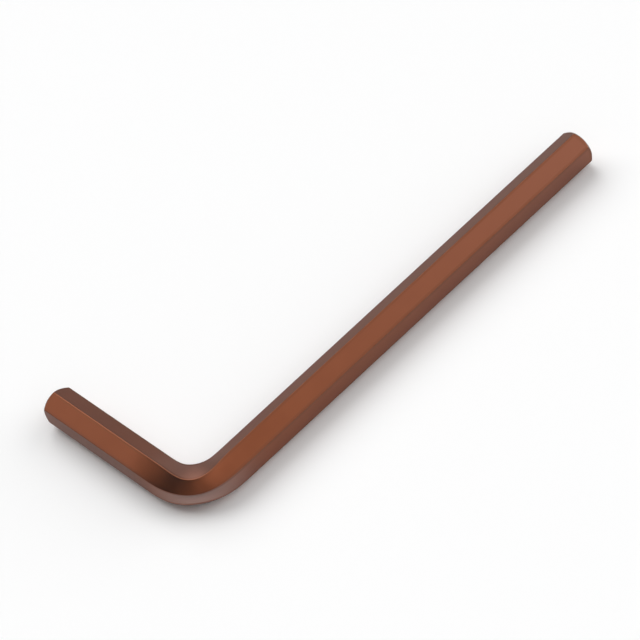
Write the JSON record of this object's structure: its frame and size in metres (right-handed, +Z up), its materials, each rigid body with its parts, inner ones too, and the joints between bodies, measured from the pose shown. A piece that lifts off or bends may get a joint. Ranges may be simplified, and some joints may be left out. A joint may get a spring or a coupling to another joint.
{
  "type": "hex key",
  "caption": "L-shaped key of hexagonal bar with a long arm, a short arm, one rounded right-angle bend and chamfered ends, for turning hexagon socket screws.",
  "frame": {"origin": "on the surface that the key lies on, at the middle of its overall length and width", "axes": "+X along the long arm towards its free end, +Y along the short arm towards its free end, +Z up, square to the plane of the bend"},
  "size_m": [0.096, 0.038, 0.0068],
  "materials": {
    "bronze_coated_steel": "smooth satin bronze-brown metallic coat over steel"
  },
  "bodies": {
    "root": {"hex_key": "bronze_coated_steel"}
  },
  "joints": []
}
